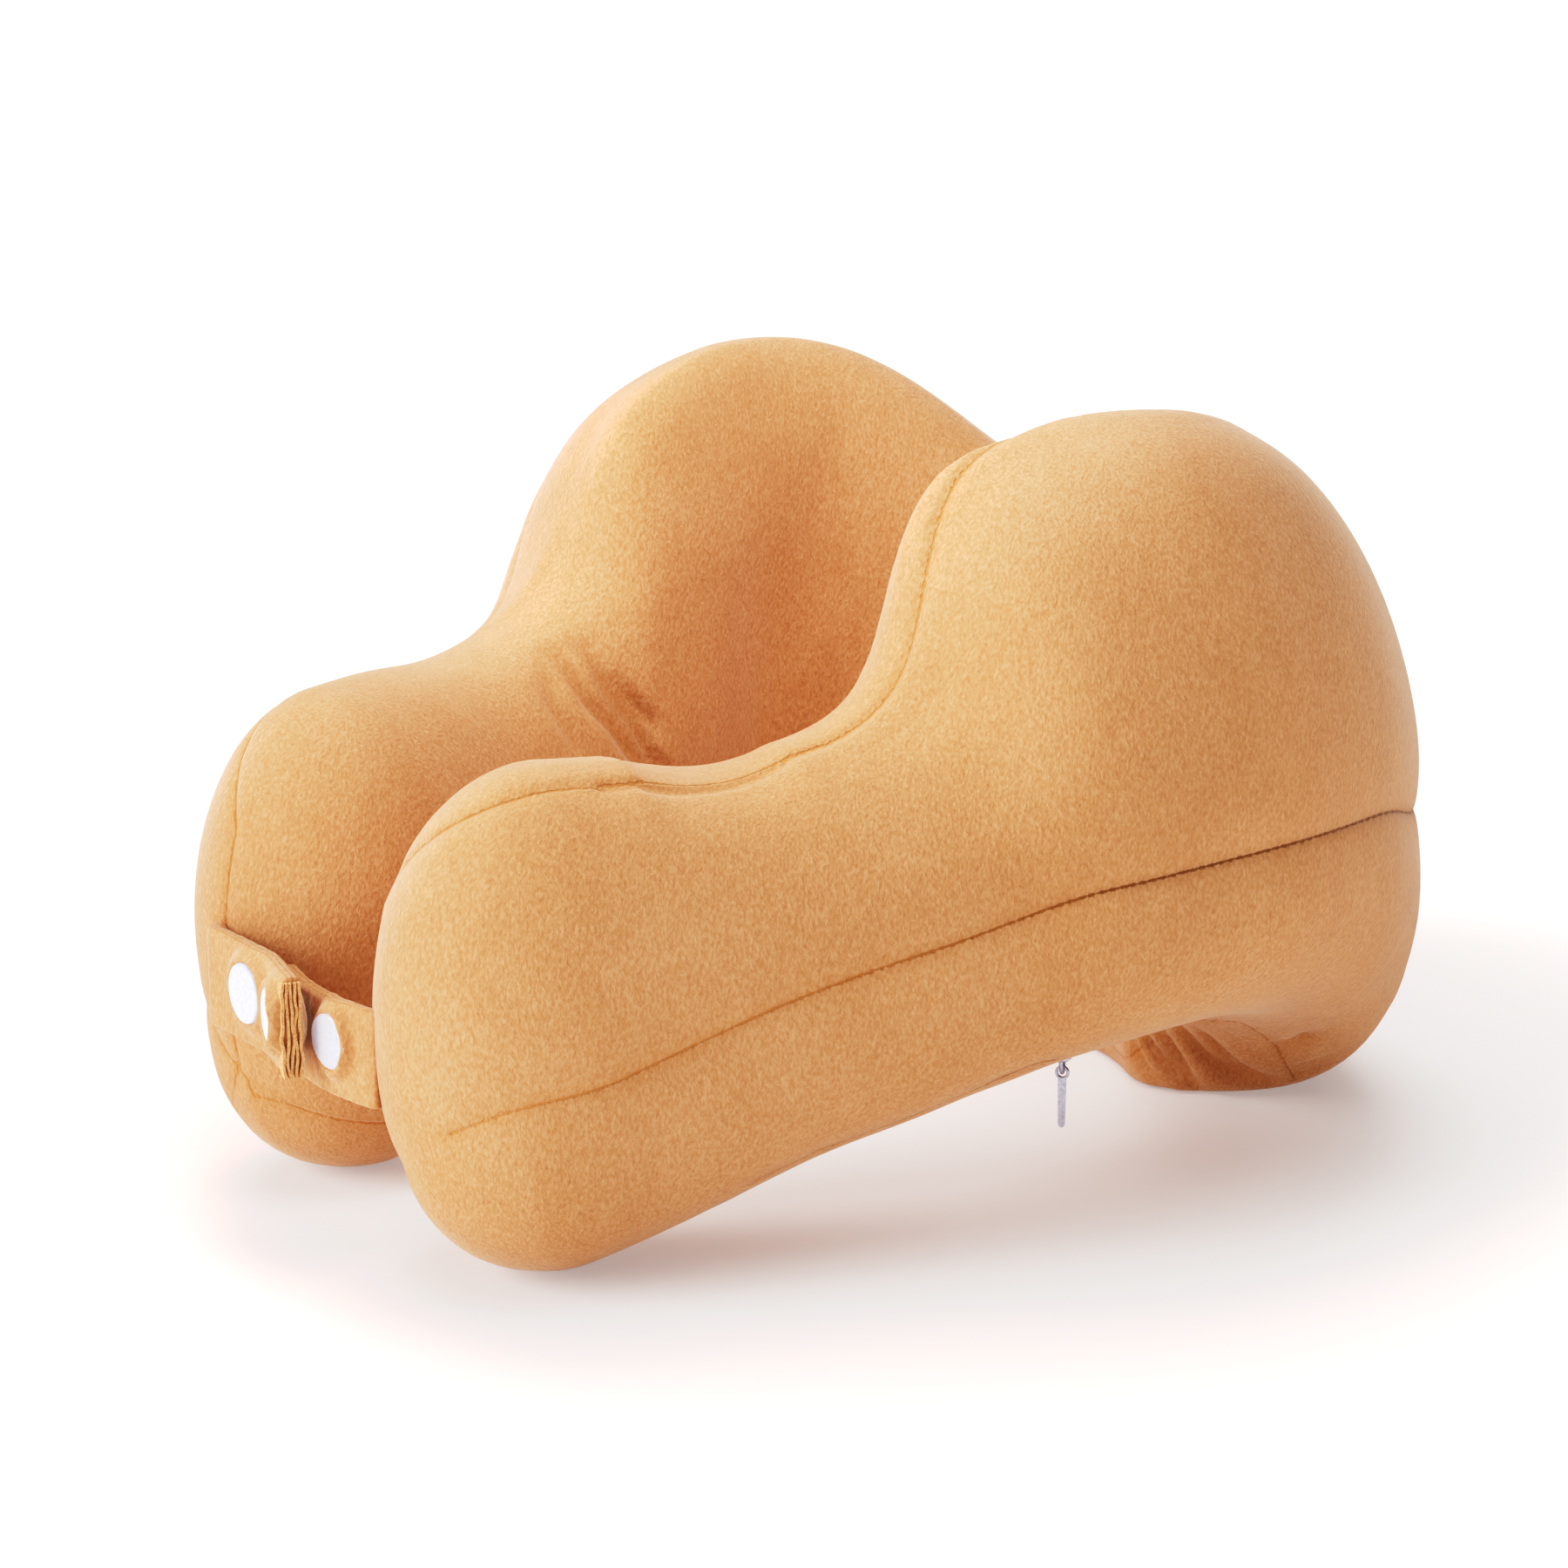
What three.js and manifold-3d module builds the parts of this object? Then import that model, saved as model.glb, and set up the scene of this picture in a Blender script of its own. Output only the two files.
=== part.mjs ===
// Neck pillow: a filled plush horseshoe with a tall hump at each side of the neck,
// two low front bulbs joined by a snap strap, and a zip in its bottom seam.
// Millimetres, +Z up. The part stands on z = 0 with its open end towards -Y.
// The origin is the middle of its base rectangle.
import * as THREE from 'three';
import { mergeVertices } from 'three/addons/utils/BufferGeometryUtils.js';
import Module from 'manifold-3d';

const wasm = await Module();
wasm.setup();

// Plan of the centreline, measured from the point between the two bulbs
const tipCentre = { x: 44, y: 4 };
const ringCentreY = 148;
const ringRadius = 87;
const originY = 116.4;

const degrees = Math.PI / 180;
const tipToRing = Math.hypot(tipCentre.x, ringCentreY - tipCentre.y);
const armLength = Math.sqrt(tipToRing ** 2 - ringRadius ** 2);
const ringStart = Math.acos(ringRadius / tipToRing) - Math.atan2(ringCentreY - tipCentre.y, tipCentre.x);
const backAlong = armLength + ringRadius * (Math.PI / 2 - ringStart);

// One row for each section from the bulb to the middle of the back.
// along, over: places of the keel and the crest on the centreline
// sweep: how far the outer rim lags behind them
// crest, keel: heights of the top and bottom lines; lean, stray: their shifts outwards
// outer, inner: half widths; outerAt, innerAt: the heights where they are widest
// under, within: how squarely the outer and the inner side turn under
// belt: height of the side seam; hem: the bottom seam on the inside, above the keel
const columnNames = ['along', 'over', 'sweep', 'crest', 'lean', 'keel', 'stray', 'outer', 'inner',
  'outerAt', 'innerAt', 'under', 'within', 'belt', 'hem'];
const sections = [
  [2, 0, 0, 120, 0, 0, -4, 34.5, 40, 62, 60, 2.9, 2.1, 52, 18],
  [20, 20, 3, 120, 0, 6, -1, 34.5, 38, 62, 60, 2.6, 2.1, 60, 13],
  [40, 40, 6, 118, -1, 14, 2, 35, 36, 64, 62, 2.34, 2.2, 68, 9],
  [58, 60, 9, 120, -3, 21, 4, 36, 36, 67, 65, 2.1, 2.2, 74, 6],
  [72, 75, 12, 125, -6, 25, 5, 37, 36, 70, 68, 2.1, 2.2, 78, 5],
  [81, 83, 15, 134, -9, 28, 5, 37, 36, 73, 72, 2.1, 2.2, 81, 5],
  [90, 87, 18, 149, -12, 31, 5, 38, 36, 76, 76, 2.1, 2.2, 84, 5],
  [99, 91, 18, 164, -15, 33, 5, 39, 36, 78, 80, 2.1, 2.2, 86, 5],
  [113, 102, 16, 177, -18, 37, 5, 40, 37, 80, 82, 2.1, 2.3, 88, 5],
  [132, 125, 11, 184.5, -20, 40, 5, 40, 37, 82, 84, 2.1, 2.3, 90, 5],
  [152, 149, 6, 186.5, -19, 41, 4, 41, 37, 84, 84, 2.2, 2.4, 91, 5],
  [176, 174, 3, 185, -14, 36, 2, 41, 37, 80, 84, 2.3, 2.6, 90, 5],
  [192, 192, 0, 181, -12, 28, 0, 42, 37, 74, 84, 2.4, 2.8, 88, 5],
  [206, 206, 0, 175, -11, 17, -3, 42, 37, 68, 82, 2.5, 3.2, 82, 6],
  [216, 218, 0, 168, -10, 3, -6, 43, 37, 65, 80, 2.6, 3.6, 79, 8],
  [228, 232, 0, 158, -9, -6, -9, 43, 37, 63, 76, 2.6, 3.8, 76, 13],
  [250, 252, 0, 144, -7, -8, -10, 43, 37, 60, 72, 2.6, 3.8, 74, 14],
  [270, 271, 0, 133, -6, -8, -10, 43, 37, 60, 70, 2.6, 3.8, 73, 14],
  [backAlong, backAlong, 0, 129, -5, -8, -10, 43, 37, 60, 70, 2.6, 3.8, 73, 14],
].map((row) => Object.fromEntries(columnNames.map((name, i) => [name, row[i]])));

// The front seam runs down each bulb at this angle from the arm's own direction, plus is outwards
const frontSeam = { right: -24, left: 9 };

const sectionCount = 38;
const capColumns = 6;
// How far the bulbs reach forward of their tip centres
const frontReach = { right: 42, left: 38 };
const crestFullness = 2.05;
const topSeamFromCrest = 12;
const frontSeamFromCrest = 46;
const insideRowFromCrest = 40;
const insideRowFade = 40;
const beltSweep = 1.8;
const seamSide = 3;
const seamDepth = 1.6;
const pinchDepth = 1.8;
const pinchReach = 10;

// Rows of faces from the keel to the crest
const beltRow = 7;
const seamRow = 18;
const crestRow = 23;

function onCentreline(along, outwards) {
  const onRing = along > armLength;
  const turn = onRing ? ringStart + (along - armLength) / ringRadius : ringStart;
  const back = Math.min(along - armLength, 0);
  return new THREE.Vector2(
    (ringRadius + outwards) * Math.cos(turn) - back * Math.sin(turn),
    ringCentreY + (ringRadius + outwards) * Math.sin(turn) + back * Math.cos(turn),
  );
}

function tableRow(i) {
  const last = sections.length - 1;
  if (i <= last) return sections[Math.max(i, 0)];
  const twin = sections[2 * last - i];
  return { ...twin, along: 2 * backAlong - twin.along, over: 2 * backAlong - twin.over };
}

// A smooth curve through the rows of the table
function sectionAt(place) {
  const i = Math.min(Math.floor(place), sections.length - 2);
  const t = place - i;
  const [a, b, c, d] = [i - 1, i, i + 1, i + 2].map(tableRow);
  const mix = {};
  for (const name of Object.keys(b)) {
    const before = i === 0 ? 2 * b[name] - c[name] : a[name];
    mix[name] = 0.5 * (2 * b[name] + (c[name] - before) * t
      + (2 * before - 5 * b[name] + 4 * c[name] - d[name]) * t ** 2
      + (3 * b[name] - before - 3 * c[name] + d[name]) * t ** 3);
  }
  return mix;
}

function crestPoint(section) {
  const plan = onCentreline(section.over, section.lean);
  return new THREE.Vector3(plan.x, plan.y, section.crest);
}

function keelPoint(section) {
  const plan = onCentreline(section.along, section.stray);
  return new THREE.Vector3(plan.x, plan.y, section.keel);
}

// Table places a like distance apart, measured as the mean of crest and keel
function evenPlaces(count) {
  const steps = 40 * (sections.length - 1);
  const travel = [0];
  let before = sectionAt(0);
  for (let i = 1; i <= steps; i++) {
    const here = sectionAt((i / steps) * (sections.length - 1));
    const crestStep = crestPoint(here).distanceTo(crestPoint(before));
    const keelStep = keelPoint(here).distanceTo(keelPoint(before));
    travel.push(travel[i - 1] + (crestStep + keelStep) / 2);
    before = here;
  }
  const places = [];
  for (let k = 0, i = 0; k <= count; k++) {
    const goal = (k / count) * travel[steps];
    while (i < steps - 1 && travel[i + 1] < goal) i++;
    const part = (goal - travel[i]) / (travel[i + 1] - travel[i]);
    places.push(((i + part) / steps) * (sections.length - 1));
  }
  return places;
}

// One side of a section, from keel to crest: two quarter rounds that meet at the rim
function sideProfile(crest, keel, rim, under) {
  const steps = 40;
  const points = [];
  for (let i = 0; i <= steps; i++) {
    const angle = (i / steps) * Math.PI / 2;
    const out = Math.sin(angle) ** (2 / under);
    const up = Math.cos(angle) ** (2 / under);
    points.push(new THREE.Vector3().lerpVectors(keel, rim, out).setZ(rim.z + (keel.z - rim.z) * up));
  }
  for (let i = 1; i <= steps; i++) {
    const angle = (1 - i / steps) * Math.PI / 2;
    const out = Math.sin(angle) ** (2 / crestFullness);
    const up = Math.cos(angle) ** (2 / crestFullness);
    points.push(new THREE.Vector3().lerpVectors(crest, rim, out).setZ(rim.z + (crest.z - rim.z) * up));
  }
  const travel = [0];
  for (let i = 1; i < points.length; i++) travel.push(travel[i - 1] + points[i].distanceTo(points[i - 1]));
  return { points, travel, length: travel.at(-1) };
}

function pointAlong(profile, distance) {
  let i = 0;
  while (i < profile.points.length - 2 && profile.travel[i + 1] < distance) i++;
  const part = (distance - profile.travel[i]) / (profile.travel[i + 1] - profile.travel[i]);
  return new THREE.Vector3().lerpVectors(profile.points[i], profile.points[i + 1], part);
}

function distanceAtHeight(profile, height) {
  let i = 1;
  while (profile.points[i].z < height) i++;
  const part = (height - profile.points[i - 1].z) / (profile.points[i].z - profile.points[i - 1].z);
  return profile.travel[i - 1] + part * (profile.travel[i] - profile.travel[i - 1]);
}

// The distances of the rows from the keel, close together beside the seams
function rowDistances(profile, beltAt, fromCrest, sewn) {
  const belt = distanceAtHeight(profile, beltAt);
  const seam = profile.length - fromCrest;
  const panelStep = (seam - belt) / (seamRow - beltRow);
  const side = sewn ? seamSide : panelStep;
  const rows = [];
  for (let r = 0; r <= crestRow; r++) {
    if (r < beltRow) rows.push((belt - seamSide) * (r / (beltRow - 1)));
    else if (r === beltRow) rows.push(belt);
    else if (r < seamRow) {
      const part = (r - beltRow - 1) / (seamRow - beltRow - 2);
      rows.push(belt + seamSide + part * (seam - side - belt - seamSide));
    } else if (r === seamRow) rows.push(seam);
    else {
      const first = sewn ? seamSide : fromCrest / (crestRow - seamRow);
      const part = (r - seamRow - 1) / (crestRow - seamRow - 1);
      rows.push(seam + first + part * (fromCrest - first));
    }
  }
  return rows;
}

// The columns of one half, out along the outside, round the bulb and back along the inside
function halfColumns(side) {
  const places = evenPlaces(sectionCount);
  const stations = places.map(sectionAt);
  const outside = stations.map((section, k) => armColumn(section, k, 1));
  const inside = stations.map((section, k) => armColumn(section, k, -1));
  return [...outside.reverse(), ...capColumnsOf(stations[0], side), ...inside];
}

function armColumn(section, station, outwards) {
  const crest = crestPoint(section);
  const keel = keelPoint(section);
  const rimAt = outwards > 0 ? section.outerAt : section.innerAt;
  const halfWidth = outwards > 0 ? section.outer : -section.inner;
  const rise = (rimAt - keel.z) / (crest.z - keel.z);
  const sewn = outwards > 0;
  const rimAlong = section.along + (section.over - section.along) * rise + (sewn ? section.sweep : 0);
  const rimPlan = onCentreline(rimAlong, halfWidth);
  const rim = new THREE.Vector3(rimPlan.x, rimPlan.y, rimAt);
  const profile = sideProfile(crest, keel, rim, sewn ? section.under : section.within);
  const beltAt = sewn ? section.belt : keel.z + section.hem;
  const fromCrest = sewn ? topSeamFromCrest : insideRowFromCrest;
  const rows = rowDistances(profile, beltAt, fromCrest, sewn);
  return { station, profile, rows, topSeam: sewn, frontSeam: false, outwards: sewn ? 1 : 0 };
}

function capColumnsOf(section, end) {
  const seamAngle = frontSeam[end];
  const reach = frontReach[end];
  const crest = crestPoint(section);
  const keel = keelPoint(section);
  const side = seamSide / reach / degrees;
  const angles = [];
  const outerEdge = seamAngle + side;
  const innerEdge = seamAngle - side;
  for (let i = 1; i < capColumns; i++) angles.push(90 + (outerEdge - 90) * (i / capColumns));
  angles.push(outerEdge, seamAngle, innerEdge);
  for (let i = 1; i < capColumns; i++) angles.push(innerEdge - (innerEdge + 90) * (i / capColumns));
  return angles.map((angle) => {
    const inwards = 0.5 - 0.5 * Math.sin(angle * degrees);
    const width = angle > 0 ? section.outer : section.inner;
    const forward = reach * Math.cos(angle * degrees);
    const tipAlong = (section.along + section.over) / 2;
    const plan = onCentreline(tipAlong - forward, width * Math.sin(angle * degrees));
    const rimAt = section.outerAt + (section.innerAt - section.outerAt) * inwards;
    const rim = new THREE.Vector3(plan.x, plan.y, rimAt);
    const fullness = section.under + (section.within - section.under) * inwards;
    const profile = sideProfile(crest, keel, rim, fullness);
    const beltAt = section.belt + (keel.z + section.hem - section.belt) * (1 - (1 - inwards) ** beltSweep);
    const sewn = angle >= seamAngle - 0.01;
    const turned = (90 - angle) / (90 - seamAngle);
    const faded = Math.min((seamAngle - angle) / insideRowFade, 1);
    const fromCrest = sewn
      ? topSeamFromCrest + (frontSeamFromCrest - topSeamFromCrest) * turned ** 2
      : frontSeamFromCrest + (insideRowFromCrest - frontSeamFromCrest) * faded;
    const rows = rowDistances(profile, beltAt, fromCrest, sewn);
    const frontSeam = Math.abs(angle - seamAngle) < 0.01;
    return { station: 0, profile, rows, topSeam: sewn, frontSeam, outwards: 1 - inwards };
  });
}

// The closed skin of the pillow, or one that stands off it
function pillowGeometry(standOff) {
  const right = halfColumns('right');
  const left = halfColumns('left').reverse();
  left.forEach((column) => { column.left = true; });
  const columns = [...right, ...left.slice(1, -1)];
  const mirrored = (column, point) => (column.left ? point.setX(-point.x) : point);

  // Keel and crest points are shared by the two sides of a section
  const points = [];
  const shared = new Map();
  const corner = (column, row) => {
    const name = `${column.left && column.station < sectionCount} ${column.station} ${row}`;
    if (!shared.has(name)) {
      const distance = row === 0 ? 0 : column.profile.length;
      shared.set(name, points.push(mirrored(column, pointAlong(column.profile, distance))) - 1);
    }
    return shared.get(name);
  };
  const grid = columns.map((column) => column.rows.map((distance, row) => {
    if (row === 0 || row === crestRow) return corner(column, row);
    return points.push(mirrored(column, pointAlong(column.profile, distance))) - 1;
  }));

  const faces = [];
  grid.forEach((here, c) => {
    const next = grid[(c + 1) % grid.length];
    for (let r = 0; r < crestRow; r++) {
      const [a, b, d, e] = [here[r], next[r], next[r + 1], here[r + 1]];
      const corners = points[a].distanceTo(points[d]) < points[b].distanceTo(points[e])
        ? [[a, d, b], [a, e, d]] : [[a, e, b], [b, e, d]];
      faces.push(...corners.filter(([i, j, k]) => i !== j && j !== k && i !== k));
    }
  });

  const normals = points.map(() => new THREE.Vector3());
  for (const [i, j, k] of faces) {
    const across = new THREE.Vector3().subVectors(points[j], points[i])
      .cross(new THREE.Vector3().subVectors(points[k], points[i]));
    for (const id of [i, j, k]) normals[id].add(across);
  }
  normals.forEach((normal) => normal.normalize());

  // Seams draw the cover in, deepest on the stitching
  const sunk = new Array(points.length).fill(0);
  grid.forEach((ids, c) => {
    const column = columns[c];
    ids.forEach((id, row) => {
      const fromBelt = column.rows[row] - column.rows[beltRow];
      let depth = pinchDepth * column.outwards * Math.exp(-((fromBelt / pinchReach) ** 2));
      if (row === beltRow) depth += seamDepth * (0.5 + 0.5 * column.outwards);
      if (column.topSeam && row === seamRow) depth += seamDepth;
      if (column.frontSeam && row > beltRow && row < seamRow) depth += seamDepth;
      sunk[id] = Math.max(sunk[id], depth);
    });
  });
  points.forEach((point, i) => {
    point.addScaledVector(normals[i], standOff - sunk[i]);
    point.z = Math.max(point.z, 0);
  });

  const geometry = new THREE.BufferGeometry();
  geometry.setAttribute('position', new THREE.Float32BufferAttribute(points.flatMap((p) => p.toArray()), 3));
  geometry.setIndex(faces.flat());
  return geometry;
}

// Joins and cuts
function solidOf(geometry) {
  const bare = geometry.clone();
  for (const name of Object.keys(bare.attributes)) if (name !== 'position') bare.deleteAttribute(name);
  const merged = mergeVertices(bare, 1e-4);
  const vertProperties = new Float32Array(merged.getAttribute('position').array);
  const triVerts = new Uint32Array(merged.index.array);
  return new wasm.Manifold(new wasm.Mesh({ numProp: 3, vertProperties, triVerts }));
}

function geometryOf(solid) {
  const mesh = solid.getMesh();
  const geometry = new THREE.BufferGeometry();
  geometry.setAttribute('position', new THREE.BufferAttribute(new Float32Array(mesh.vertProperties), 3));
  geometry.setIndex(new THREE.BufferAttribute(new Uint32Array(mesh.triVerts), 1));
  return geometry;
}

// Everything fitted to the pillow stands off it, and off its neighbours, by this much
const clearance = 0.4;

// Strap tabs: doubled plush strips sewn into the front seams and snapped together.
// route: the middle of the strip in plan, from inside its seam to its free end
// middle: height of the strip's middle
const tabs = {
  left: {
    thickness: 4.4,
    width: 24,
    middle: 56.8,
    route: [[-39.6, -29], [-39.2, -32.2], [-36.8, -34.2], [-30, -34.4], [-23, -34.8], [-16, -35.2],
      [-10, -35.6], [-5, -37], [-0.3, -38.5], [4.4, -40], [9, -41.5]],
  },
  right: {
    thickness: 4,
    width: 23,
    middle: 52,
    route: [[27, -30.3], [25, -31.4], [18, -32.2], [10, -32.4], [2, -31.8], [-5, -30.4],
      [-11, -28.8], [-16, -27.2]],
  },
};
const tabSteps = 24;
const tabEdgeRound = 1;

function tabRoute(tab) {
  return new THREE.SplineCurve(tab.route.map(([x, y]) => new THREE.Vector2(x, y)));
}

// Takes away whatever comes closer to the pillow than the clearance
function clearOfPillow(solid) {
  return geometryOf(solid.subtract(solidOf(pillowGeometry(clearance))));
}

function tabGeometry(tab) {
  const curve = tabRoute(tab);
  const near = [];
  const far = [];
  for (let i = 0; i <= tabSteps; i++) {
    const point = curve.getPointAt(i / tabSteps);
    const along = curve.getTangentAt(i / tabSteps);
    const across = new THREE.Vector2(-along.y, along.x).multiplyScalar(tab.thickness / 2);
    near.push(point.clone().sub(across));
    far.unshift(point.clone().add(across));
  }
  const geometry = new THREE.ExtrudeGeometry(new THREE.Shape([...near, ...far]), {
    depth: tab.width - 2 * tabEdgeRound,
    bevelThickness: tabEdgeRound,
    bevelSize: tabEdgeRound,
    bevelOffset: -tabEdgeRound,
    bevelSegments: 2,
  });
  geometry.translate(0, 0, tab.middle + tabEdgeRound - tab.width / 2);
  return clearOfPillow(solidOf(geometry));
}

// A round piece whose foot stands off the strip, on its front face or its back one
function onTab(mesh, tab, place, face) {
  const curve = tabRoute(tab);
  const part = place.distance / curve.getLength();
  const point = curve.getPointAt(part);
  const along = curve.getTangentAt(part);
  const out = new THREE.Vector3(along.y, -along.x, 0).multiplyScalar(Math.sign(along.x) * face);
  mesh.position.set(point.x, point.y, tab.middle + place.rise)
    .addScaledVector(out, tab.thickness / 2 + clearance);
  mesh.quaternion.setFromUnitVectors(new THREE.Vector3(0, 1, 0), out);
  return mesh;
}

// Snaps: flat white caps with a softened rim, and the closed stud and socket between the tabs.
// distance: along the strip from its sewn end; rise: above the strip's middle
const snapSides = 36;
const caps = {
  root: { tab: 'left', distance: 26.6, rise: 1.6, radius: 7.2, height: 1.7 },
  end: { tab: 'left', distance: 45.2, rise: 1.2, radius: 7, height: 1.7 },
  right: { tab: 'right', distance: 13.5, rise: 2.4, radius: 6.6, height: 1.5 },
};
const capFoot = 0.3;
const capRim = 0.7;
const snapJoint = { distance: 43.5, rise: 0, radius: 3.2, height: 1.6 };

function capGeometry({ radius, height }) {
  const shoulder = capRim * (1 - Math.SQRT1_2);
  const profile = [[0, 0], [radius - capFoot, 0], [radius, capFoot], [radius, height - capRim],
    [radius - shoulder, height - shoulder], [radius - capRim, height], [0, height]];
  return new THREE.LatheGeometry(profile.map(([x, y]) => new THREE.Vector2(x, y)), snapSides);
}

// Zip slider on the bottom seam of the right arm: a small body with a bail under it.
// turn: the bail's direction in plan; top: above the cover, which the body is then cut clear of
const slider = { x: 88.5, y: 120, turn: 125, length: 7, width: 4.5, bottom: 37, top: 41, edgeRound: 0.4 };
const bail = { drop: 3.5, reach: 1.9, radius: 0.55, steps: 28, sides: 8 };
const pull = { eye: 1.75, hole: 1.05, length: 15.4, neck: 2, tip: 1.6, thickness: 0.9, edgeRound: 0.2 };

// A flat outline made solid, with softened edges
function plate(shape, thickness, edgeRound) {
  const geometry = new THREE.ExtrudeGeometry(shape, {
    depth: thickness - 2 * edgeRound,
    bevelThickness: edgeRound,
    bevelSize: edgeRound,
    bevelOffset: -edgeRound,
    bevelSegments: 1,
    curveSegments: 10,
  });
  return geometry.translate(0, 0, edgeRound);
}

// Turns a shape drawn round the foot of the slider's body into its place
function atSlider(geometry) {
  return geometry.rotateZ(slider.turn * degrees).translate(slider.x, slider.y, slider.bottom);
}

function sliderGeometry() {
  const endRadius = slider.width / 2;
  const endMiddle = slider.length / 2 - endRadius;
  const outline = new THREE.Shape();
  outline.absarc(endMiddle, 0, endRadius, -Math.PI / 2, Math.PI / 2, false);
  outline.absarc(-endMiddle, 0, endRadius, Math.PI / 2, 1.5 * Math.PI, false);
  const body = plate(outline, slider.top - slider.bottom, slider.edgeRound);

  const corners = 12;
  const hoop = [];
  for (let i = 0; i < corners; i++) {
    const turn = (i / corners) * 2 * Math.PI;
    hoop.push(new THREE.Vector3(bail.reach * Math.cos(turn), 0, bail.drop * Math.sin(turn)));
  }
  const ringCurve = new THREE.CatmullRomCurve3(hoop, true);
  const ring = new THREE.TubeGeometry(ringCurve, bail.steps, bail.radius, bail.sides, true);
  return clearOfPillow(solidOf(atSlider(body)).add(solidOf(atSlider(ring))));
}

function pullGeometry() {
  const neckAngle = Math.asin(pull.neck / 2 / pull.eye) - Math.PI / 2;
  const tipMiddle = -(pull.length - pull.eye - pull.tip / 2);
  const outline = new THREE.Shape();
  outline.absarc(0, 0, pull.eye, neckAngle, Math.PI - neckAngle, false);
  outline.absarc(0, tipMiddle, pull.tip / 2, Math.PI, 2 * Math.PI, false);
  outline.holes.push(new THREE.Path().absarc(0, 0, pull.hole, 0, 2 * Math.PI, true));
  const hanging = plate(outline, pull.thickness, pull.edgeRound).translate(0, 0, -pull.thickness / 2);
  return atSlider(hanging.rotateX(90 * degrees).rotateZ(90 * degrees).translate(0, 0, -bail.drop));
}

const plush = new THREE.MeshStandardMaterial({ color: 0xd99a5b, roughness: 0.95, metalness: 0 });
const whitePlastic = new THREE.MeshStandardMaterial({ color: 0xf1f1f3, roughness: 0.35, metalness: 0 });
const paleMetal = new THREE.MeshStandardMaterial({ color: 0xc9c9cd, roughness: 0.3, metalness: 1 });

const neckPillow = new THREE.Group();
neckPillow.position.y = -originY;

function add(name, geometry, material) {
  const mesh = new THREE.Mesh(geometry, material);
  mesh.name = name;
  neckPillow.add(mesh);
  return mesh;
}

add('pillow', pillowGeometry(0), plush);
for (const [side, tab] of Object.entries(tabs)) add(`strap_tab_${side}`, tabGeometry(tab), plush);
for (const [place, cap] of Object.entries(caps)) {
  onTab(add(`snap_cap_${place}`, capGeometry(cap), whitePlastic), tabs[cap.tab], cap, 1);
}
const joint = new THREE.CylinderGeometry(snapJoint.radius, snapJoint.radius, snapJoint.height, snapSides);
joint.translate(0, snapJoint.height / 2, 0);
onTab(add('snap_joint', joint, whitePlastic), tabs.left, snapJoint, -1);
add('zip_slider', sliderGeometry(), paleMetal);
add('zip_pull', pullGeometry(), paleMetal);

export default neckPillow;
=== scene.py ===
# Neck pillow: the plush cover, the snap strap and the zip pull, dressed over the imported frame
import math

import bmesh
import bpy
import numpy as np
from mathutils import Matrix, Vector, kdtree, noise


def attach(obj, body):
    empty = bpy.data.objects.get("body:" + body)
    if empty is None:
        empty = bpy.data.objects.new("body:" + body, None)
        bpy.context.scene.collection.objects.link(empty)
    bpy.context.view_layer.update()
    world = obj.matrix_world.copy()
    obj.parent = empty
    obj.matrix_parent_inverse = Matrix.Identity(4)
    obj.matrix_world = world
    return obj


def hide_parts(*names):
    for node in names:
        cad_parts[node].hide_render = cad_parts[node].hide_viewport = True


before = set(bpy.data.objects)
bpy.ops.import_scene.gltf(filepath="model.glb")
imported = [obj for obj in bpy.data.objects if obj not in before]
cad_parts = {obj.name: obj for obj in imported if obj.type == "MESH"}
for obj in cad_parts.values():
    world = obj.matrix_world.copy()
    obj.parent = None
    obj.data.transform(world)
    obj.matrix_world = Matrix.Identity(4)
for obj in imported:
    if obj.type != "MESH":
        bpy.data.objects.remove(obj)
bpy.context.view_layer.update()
scene = bpy.context.scene
mm = 0.001
print("frame loaded:", len(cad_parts), "nodes")


# Camera at the photograph's angle
cameraSettings = {
    "lookAt": (-7.6, -3.7, 85),     # mm
    "azimuth": 51.41,
    "elevation": 15,
    "distance": 1000,               # mm
    "lens": 92,
    "sensor": 36,
    "nearest": 0.05,                # m
    "farthest": 60,                 # m
}


def makeCamera(s):
    azimuth, elevation = math.radians(s["azimuth"]), math.radians(s["elevation"])
    back = Vector((
        math.sin(azimuth) * math.cos(elevation),
        -math.cos(azimuth) * math.cos(elevation),
        math.sin(elevation),
    ))
    place = (Vector(s["lookAt"]) + back * s["distance"]) * mm
    bpy.ops.object.camera_add(location=place)
    camera = bpy.context.object
    camera.rotation_mode = "QUATERNION"
    camera.rotation_quaternion = (-back).to_track_quat("-Z", "Y")
    camera.data.sensor_width = s["sensor"]
    camera.data.lens = s["lens"]
    camera.data.clip_start = s["nearest"]
    camera.data.clip_end = s["farthest"]
    scene.camera = camera


makeCamera(cameraSettings)


# Small helpers for modelling
def clearSelection():
    if bpy.context.mode != "OBJECT":
        bpy.ops.object.mode_set(mode="OBJECT")
    bpy.ops.object.select_all(action="DESELECT")


def makeActive(piece):
    clearSelection()
    piece.select_set(True)
    bpy.context.view_layer.objects.active = piece


def applyAll(piece):
    makeActive(piece)
    for modifier in list(piece.modifiers):
        bpy.ops.object.modifier_apply(modifier=modifier.name)


def readPoints(piece):
    points = np.zeros(len(piece.data.vertices) * 3)
    piece.data.vertices.foreach_get("co", points)
    return points.reshape(-1, 3)


def writePoints(piece, points):
    piece.data.vertices.foreach_set("co", points.ravel())
    piece.data.update()


def readNormals(piece):
    normals = np.zeros(len(piece.data.vertices) * 3)
    piece.data.vertices.foreach_get("normal", normals)
    return normals.reshape(-1, 3)


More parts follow.
